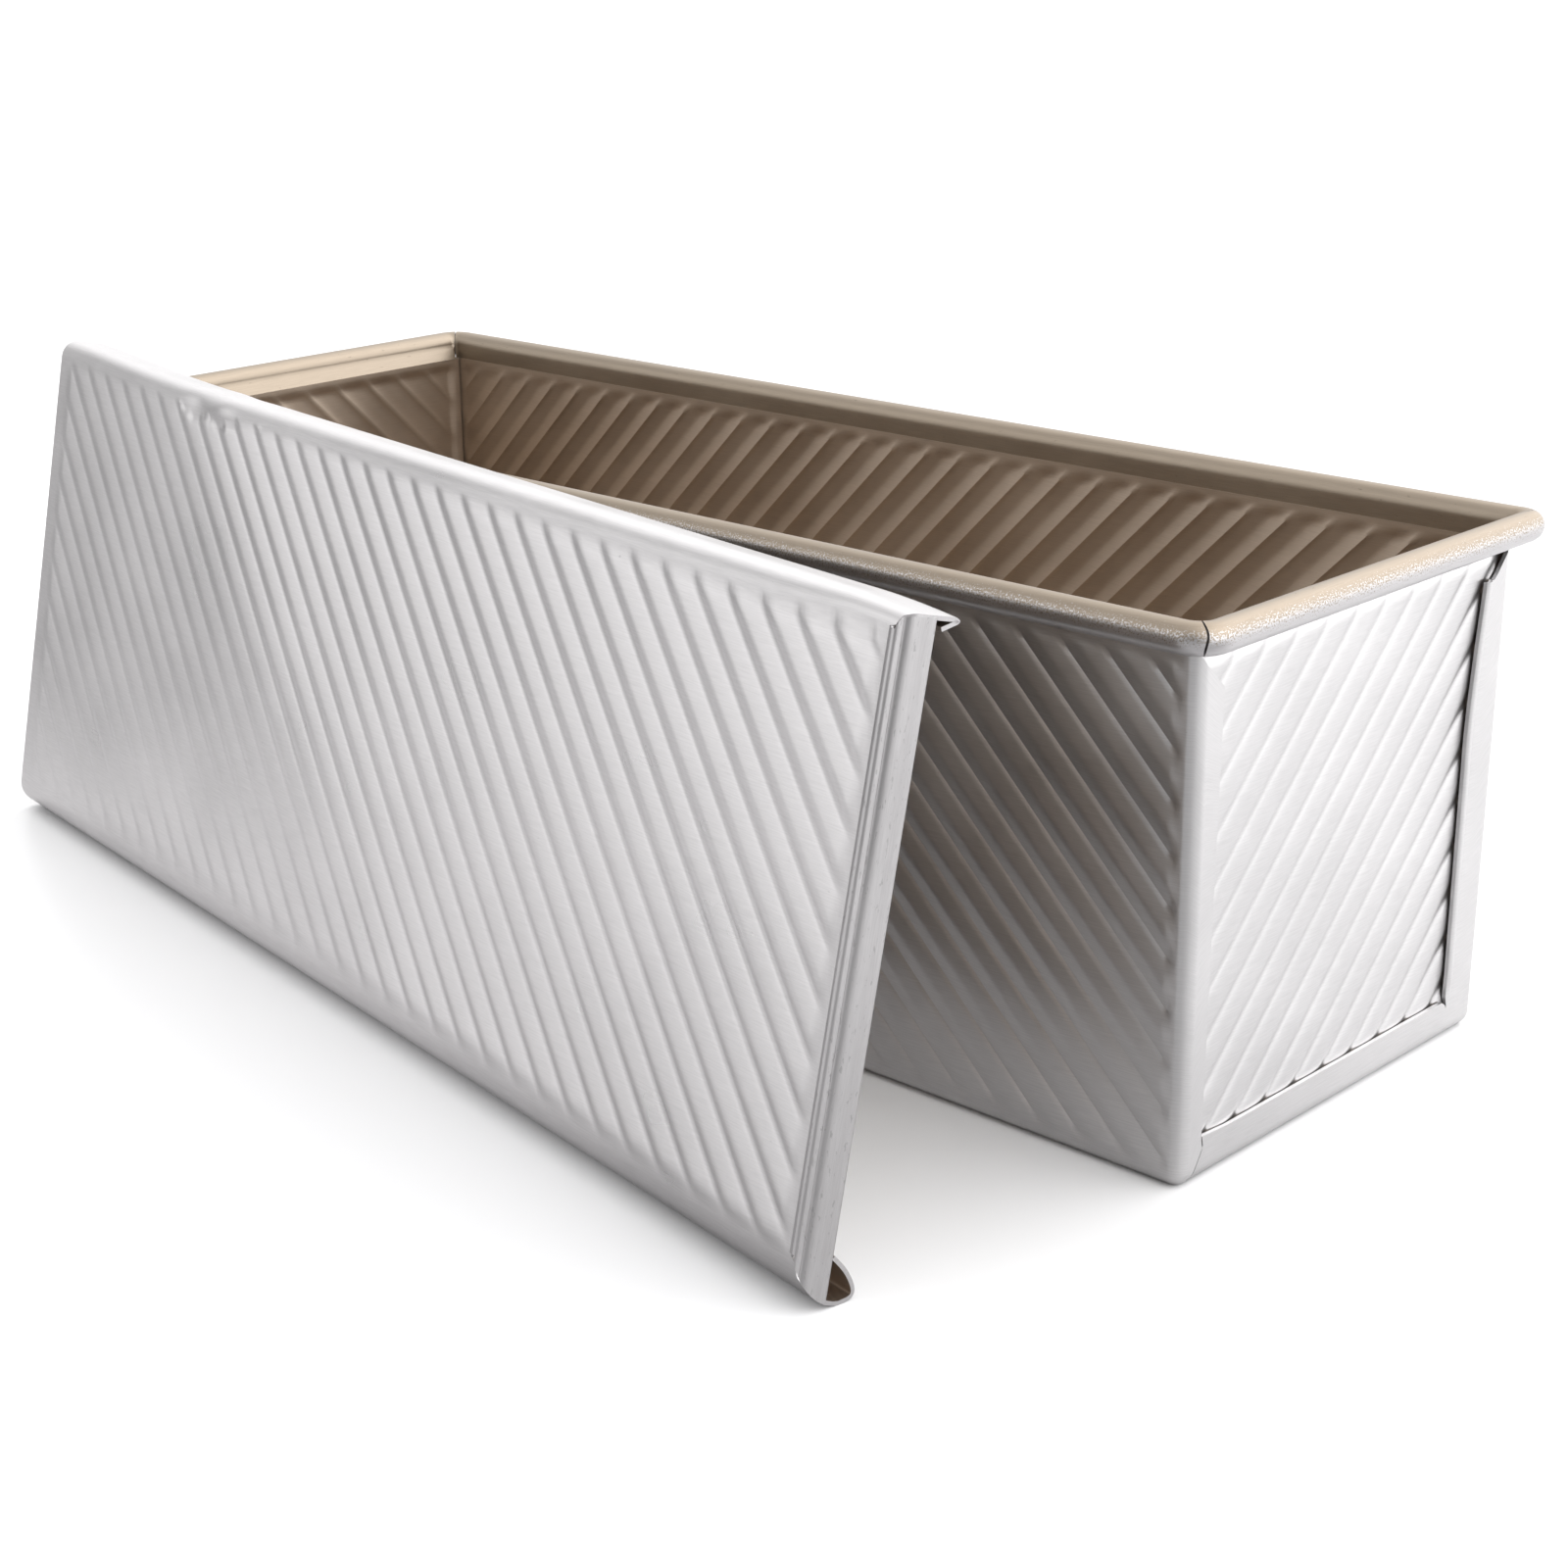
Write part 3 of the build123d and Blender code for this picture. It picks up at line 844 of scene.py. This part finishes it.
def oval_arc(middle, radii, first, last, count):
    """Points of an oval: the middle and each radius times the angle's cosine and sine."""
    angle = np.radians(np.linspace(first, last, count))
    return middle[0] + radii[0] * np.cos(angle), middle[1] + radii[1] * np.sin(angle)


def inset(bend, down):
    """How far in from its side a round of this bend is, this far below the face."""
    return bend - np.sqrt(np.clip(bend**2 - (bend - np.minimum(down, bend)) ** 2, 0, None))


def lip_grid(depth):
    """The lip's profile of arcs, carried between the rounds of the cover's two sides."""
    bead = oval_arc(bead_middle, bead_radii, 140, -4, 12)
    turn = oval_arc((lip_line, lip_foot), lip_round, 88, 0, 16)
    hem = oval_arc(hem_middle, hem_radii, 35, -150, 10)
    u = np.concatenate([[lip_start], bead[0], turn[0], hem[0]])[:, None]
    n = np.concatenate([[0.0], bead[1], turn[1], hem[1]])[:, None]
    inner_u, inner_n = offset_path(u, n, depth)
    down = np.clip(-n, 0, None)
    start = inset(lower_bend(cover_length), down)
    end = crown(cover_length) - inset(upper_bend(cover_length), down)
    share = (1 - np.cos(np.linspace(0, pi, lip_columns + 1)))[None, :] / 2
    return stood(inner_u, start + share * (end - start), inner_n)


cover_lip = on_lid(sheet_piece("cover_lip", lip_grid(0.0), lip_grid(sheet * lip_sheet_share)))

# %% [markdown]
# Finishes
#
# A finish is built from a few effects that every metal piece here shares: the rollers'
# grain, smudges from handling, fine scuffs and the specks in which the coating thins out.
# Each effect is a small group of nodes that reads the flat strip's own coordinates, so
# the grain follows the sheet round its folds. A picture of scratched steel could be used
# instead, but noise has no seams and no size of its own.

# %% Helpers for nodes


def wired(tree, kind, inputs, **settings):
    """A node with its settings; its inputs are numbers or other nodes' outputs."""
    node = tree.nodes.new(kind)
    for name, value in settings.items():
        setattr(node, name, value)
    for name, value in inputs.items():
        if isinstance(value, bpy.types.NodeSocket):
            tree.links.new(value, node.inputs[name])
        else:
            node.inputs[name].default_value = value
    return node


def worked(tree, operation, *values):
    """The result of one sum on numbers or other nodes' outputs."""
    node = wired(tree, "ShaderNodeMath", dict(enumerate(values)), operation=operation)
    return node.outputs["Value"]


def effect(name, inputs, outputs):
    """An empty group with named values in and out."""
    tree = bpy.data.node_groups.new(name, "ShaderNodeTree")
    for label, value in inputs.items():
        socket = tree.interface.new_socket(label, in_out="INPUT", socket_type="NodeSocketFloat")
        socket.default_value = value
    for label in outputs:
        tree.interface.new_socket(label, in_out="OUTPUT", socket_type="NodeSocketFloat")
    return tree, tree.nodes.new("NodeGroupInput").outputs, tree.nodes.new("NodeGroupOutput").inputs


def strip_noise(tree, across, upwards, detail, rough):
    """Noise with its own number of lumps a metre each way, from 0 to 1 around a half."""
    strip = wired(tree, "ShaderNodeUVMap", {}, uv_map="strip")
    size = wired(tree, "ShaderNodeCombineXYZ", {"X": across, "Y": upwards, "Z": 1.0})
    stretched = wired(
        tree, "ShaderNodeVectorMath", {0: strip.outputs["UV"], 1: size.outputs["Vector"]},
        operation="MULTIPLY",
    )
    noise = wired(
        tree, "ShaderNodeTexNoise",
        {"Vector": stretched.outputs["Vector"], "Scale": 1.0, "Detail": detail, "Roughness": rough},
    )
    return noise.outputs["Fac"]


# %% [markdown]
# The grain is noise drawn out along the strip, and the smudges are large and soft. Scuffs
# are the tops of a sharper noise, cut off at a level. The coating's specks come from
# comparing a fine noise with how thickly the place is coated.

# %% Shared effects
# Lumps a metre, along the strip and up it
streak_lumps, pore_lumps = (160.0, 3800.0), (2600.0, 2600.0)
smudge_lumps, nick_lumps = (26.0, 34.0), (420.0, 1150.0)
nick_softness, speck_start, speck_full = 0.05, 0.45, 0.57
coat_weight = 0.7

grain, _, out = effect("rolled_grain", {}, ["Tone", "Height"])
streaks = strip_noise(grain, *streak_lumps, detail=3.0, rough=0.6)
pores = strip_noise(grain, *pore_lumps, detail=2.0, rough=0.6)
grain.links.new(worked(grain, "SUBTRACT", streaks, 0.5), out["Tone"])
grain.links.new(worked(grain, "ADD", streaks, pores), out["Height"])

smudges, _, out = effect("smudges", {}, ["Tone"])
handling = strip_noise(smudges, *smudge_lumps, detail=3.0, rough=0.55)
smudges.links.new(worked(smudges, "SUBTRACT", handling, 0.5), out["Tone"])

scuffs, given, out = effect("scuffs", {"Level": 0.64}, ["Mask"])
nicks = strip_noise(scuffs, *nick_lumps, detail=4.0, rough=0.62)
clear = worked(scuffs, "ADD", given["Level"], nick_softness)
above = wired(
    scuffs, "ShaderNodeMapRange", {"Value": nicks, "From Min": given["Level"], "From Max": clear}
)
scuffs.links.new(above.outputs["Result"], out["Mask"])

specks, given, out = effect("coating_specks", {"Coat": 1.0}, ["Mask"])
fine = strip_noise(specks, *pore_lumps, detail=3.0, rough=0.7)
lean_to = worked(specks, "MULTIPLY_ADD", given["Coat"], coat_weight, -coat_weight / 2)
coated = worked(specks, "ADD", fine, lean_to)
covered = wired(
    specks, "ShaderNodeMapRange", {"Value": coated, "From Min": speck_start, "From Max": speck_full}
)
specks.links.new(covered.outputs["Result"], out["Mask"])
print("effects:", [group.name for group in bpy.data.node_groups])

# %% [markdown]
# The steels
#
# Aluminised steel is pale, satin and slightly warm. Inside, and over the rim, it carries
# a champagne coating. The cover's lip is the part that is gripped and knocked, so its
# steel is duller and more scuffed than the rest. One function makes all four steels from
# the shared effects, because they are the same sheet in different states.

# %% Materials of the sheet
grain_tone, smudge_tone, scuff_tone = 0.30, 0.22, -0.22
coat_rough, smudge_rough, scuff_rough = 0.08, 0.22, 0.12
scuff_height, coat_height = -0.8, 0.5
bump_strength, bump_depth = 0.35, 0.03


def plain_material(name):
    """A new material, its tree of nodes and its Principled BSDF."""
    material = bpy.data.materials.new(name)
    material.use_nodes = True
    return material, material.node_tree, material.node_tree.nodes["Principled BSDF"]


def steel_material(name, bare, coating, roughness, scuff_level):
    """Bare and coated steel, mixed by the coating's specks, and toned by each effect."""
    material, tree, shader = plain_material(name)
    grain_here, smudges_here, scuffs_here, specks_here = (
        wired(tree, "ShaderNodeGroup", {}, node_tree=group) for group in (grain, smudges, scuffs, specks)
    )
    coat = wired(tree, "ShaderNodeAttribute", {}, attribute_name="coat")
    tree.links.new(coat.outputs["Fac"], specks_here.inputs["Coat"])
    scuffs_here.inputs["Level"].default_value = scuff_level
    colour = wired(
        tree, "ShaderNodeMix", {"Factor": specks_here.outputs["Mask"], "A": (*bare, 1), "B": (*coating, 1)},
        data_type="RGBA",
    )
    tone = worked(tree, "MULTIPLY_ADD", grain_here.outputs["Tone"], grain_tone, 1.0)
    tone = worked(tree, "MULTIPLY_ADD", smudges_here.outputs["Tone"], smudge_tone, tone)
    tone = worked(tree, "MULTIPLY_ADD", scuffs_here.outputs["Mask"], scuff_tone, tone)
    toned = wired(
        tree, "ShaderNodeVectorMath", {"Vector": colour.outputs["Result"], "Scale": tone}, operation="SCALE"
    )
    tree.links.new(toned.outputs["Vector"], shader.inputs["Base Color"])
    shader.inputs["Metallic"].default_value = 1.0
    rough = worked(tree, "MULTIPLY_ADD", specks_here.outputs["Mask"], coat_rough, roughness)
    rough = worked(tree, "MULTIPLY_ADD", smudges_here.outputs["Tone"], smudge_rough, rough)
    rough = worked(tree, "MULTIPLY_ADD", scuffs_here.outputs["Mask"], scuff_rough, rough)
    tree.links.new(rough, shader.inputs["Roughness"])
    grain_height = grain_here.outputs["Height"]
    height = worked(tree, "MULTIPLY_ADD", scuffs_here.outputs["Mask"], scuff_height, grain_height)
    height = worked(tree, "MULTIPLY_ADD", specks_here.outputs["Mask"], coat_height, height)
    bump = wired(
        tree, "ShaderNodeBump", {"Height": height, "Strength": bump_strength, "Distance": bump_depth * mm}
    )
    tree.links.new(bump.outputs["Normal"], shader.inputs["Normal"])
    return material


# %% Steels of the pan and the cover
finishes = {
    # bare steel, coating, roughness, level above which it is scuffed
    "pan_steel": ((0.66, 0.652, 0.655), (0.47, 0.392, 0.32), 0.37, 0.72),
    "cover_steel": ((0.66, 0.645, 0.65), (0.50, 0.43, 0.37), 0.31, 0.70),
    "scuffed_steel": ((0.60, 0.587, 0.592), (0.30, 0.26, 0.23), 0.34, 0.60),
    "rim_steel": ((0.60, 0.588, 0.595), (0.315, 0.263, 0.208), 0.33, 0.66),
}
steels = [steel_material(name, *finish) for name, finish in finishes.items()]
pan_steel, cover_steel, scuffed_steel, rim_steel = steels
for piece in [front_wall, back_wall, right_plate, left_plate] + floor_pieces:
    piece.data.materials.append(pan_steel)
for piece in rims:
    piece.data.materials.append(rim_steel)
cover_shell.data.materials.append(cover_steel)
cover_lip.data.materials.append(scuffed_steel)
print("sheet steels:", [steel.name for steel in steels])

# %% [markdown]
# The wire
#
# The wire inside the rim is drawn through a die, which leaves it grey and a little rough.
# It is the imported part itself, so it has no strip of its own to read, and its fine noise
# sits on Object coordinates. It shows only in the cuts at the rim's corners, and its colour
# is kept near black there as painted shade for the dark inside of the roll.

# %% Material of the wire
wire_painted_shade, tree, shader = plain_material("drawn_wire_painted_shade")
place = wired(tree, "ShaderNodeTexCoord", {})
drawn = wired(
    tree, "ShaderNodeTexNoise", {"Vector": place.outputs["Object"], "Scale": 900.0, "Detail": 3.0}
)
# Near black: painted shade for the inside of the roll, over the wire's own grey noise.
shade = wired(tree, "ShaderNodeValToRGB", {"Fac": drawn.outputs["Fac"]})
shade.color_ramp.elements[0].color = (0.05, 0.048, 0.046, 1)
shade.color_ramp.elements[1].color = (0.22, 0.21, 0.20, 1)
tree.links.new(shade.outputs["Color"], shader.inputs["Base Color"])
tree.links.new(worked(tree, "MULTIPLY_ADD", drawn.outputs["Fac"], 0.3, 0.35), shader.inputs["Roughness"])
bump = wired(
    tree, "ShaderNodeBump",
    {"Height": drawn.outputs["Fac"], "Strength": 0.3, "Distance": bump_depth * mm},
)
tree.links.new(bump.outputs["Normal"], shader.inputs["Normal"])
shader.inputs["Metallic"].default_value = 1.0
for slot in frame["nodes"]["rim_wire"].material_slots:
    slot.material = wire_painted_shade
print("the wire has", len(frame["nodes"]["rim_wire"].material_slots), "slot, now", wire_painted_shade.name)

# %% [markdown]
# The floor of the room
#
# The pan stands on a pale floor. The camera sees it pale and even. In reflections it is
# duller, most of all in front and to the left, where a real room has the camera and its
# dark stand; that duller colour is painted shade. Dark cards could be put there instead,
# but they would throw shadows as well, so the floor's own material mixes two colours by what kind of ray
# sees it.

# %% Floor of the room
stage_size = 14.0
# In reflections the floor's colour is painted shade: darker than seen, and darker still in front and to the
# left.
floor_seen, floor_reflected_painted_shade = (0.87, 0.87, 0.875, 1), (0.64, 0.635, 0.64)
front_way = (0.6, -0.8, 0.0)
front_painted_shade = {"From Min": 0.04, "From Max": 0.24, "To Min": 1.0, "To Max": 0.52}
left_painted_shade = {"From Min": -0.12, "From Max": -0.50, "To Min": 1.0, "To Max": 0.42}
bpy.ops.mesh.primitive_plane_add(size=stage_size, location=(0, 0, 0))
stage = bpy.context.object
stage.name = "stage_floor"
stage_material, tree, shader = plain_material("stage_floor")
seen = wired(tree, "ShaderNodeLightPath", {})
place = wired(tree, "ShaderNodeTexCoord", {})
forwards = wired(
    tree, "ShaderNodeVectorMath", {0: place.outputs["Object"], 1: front_way}, operation="DOT_PRODUCT"
)
in_front = wired(
    tree, "ShaderNodeMapRange", {"Value": forwards.outputs["Value"], **front_painted_shade},
    interpolation_type="SMOOTHSTEP",
)
apart = wired(tree, "ShaderNodeSeparateXYZ", {"Vector": place.outputs["Object"]})
to_left = wired(
    tree, "ShaderNodeMapRange", {"Value": apart.outputs["X"], **left_painted_shade},
    interpolation_type="SMOOTHSTEP",
)
# The two fades together give the painted shade of the reflected floor.
shade = worked(tree, "MULTIPLY", in_front.outputs["Result"], to_left.outputs["Result"])
painted_shade_colour = wired(
    tree, "ShaderNodeVectorMath", {"Vector": floor_reflected_painted_shade, "Scale": shade}, operation="SCALE"
)
floor_colour = wired(
    tree, "ShaderNodeMix",
    {"Factor": seen.outputs["Is Camera Ray"], "A": painted_shade_colour.outputs["Vector"], "B": floor_seen},
    data_type="RGBA",
)
tree.links.new(floor_colour.outputs["Result"], shader.inputs["Base Color"])
shader.inputs["Roughness"].default_value = 0.30
shader.inputs["Specular IOR Level"].default_value = 0.35
stage.data.materials.append(stage_material)
print("floor", stage_size, "m across")

# %% [markdown]
# The soft light
#
# Bare metal shows little but what it reflects, so the room is brighter overhead and to
# the right than on the left. Area lights would do, but they would show as hard shapes in
# the steel. Here each soft box is a patch of the room's own glow that fades with the
# angle from its middle. Behind the pan the camera sees plain white.

# %% Soft lights of the room
room_light = 0.22
soft_boxes = [
    # towards, from how near the middle it starts and is full, strength
    ((0.0, 0.0, 1.0), (0.10, 0.95), 0.92),
    ((0.78, 0.58, 0.25), (0.0, 0.9), 2.08),
    ((-0.66, -0.74, 0.20), (0.74, 1.0), 1.02),
    ((-0.60, 0.75, 0.20), (0.5, 0.95), 1.0),
]
world = bpy.data.worlds.new("studio")
bpy.context.scene.world = world
world.use_nodes = True
tree = world.node_tree
room = tree.nodes["Background"]
direction = wired(tree, "ShaderNodeTexCoord", {})
glow = room_light
for towards, (start, full), strength in soft_boxes:
    facing = wired(
        tree, "ShaderNodeVectorMath",
        {0: direction.outputs["Generated"], 1: Vector(towards).normalized()}, operation="DOT_PRODUCT",
    )
    box = wired(
        tree, "ShaderNodeMapRange",
        {"Value": facing.outputs["Value"], "From Min": start, "From Max": full, "To Max": strength},
        interpolation_type="SMOOTHSTEP",
    )
    glow = worked(tree, "ADD", glow, box.outputs["Result"])
seen = wired(tree, "ShaderNodeLightPath", {})
shown = wired(tree, "ShaderNodeMix", {"Factor": seen.outputs["Is Camera Ray"], "A": glow, "B": 1.0})
tree.links.new(shown.outputs["Result"], room.inputs["Strength"])
room.inputs["Color"].default_value = (1, 1, 1, 1)
bpy.context.scene.view_settings.view_transform = "Standard"
print(len(soft_boxes), "soft lights in the room")
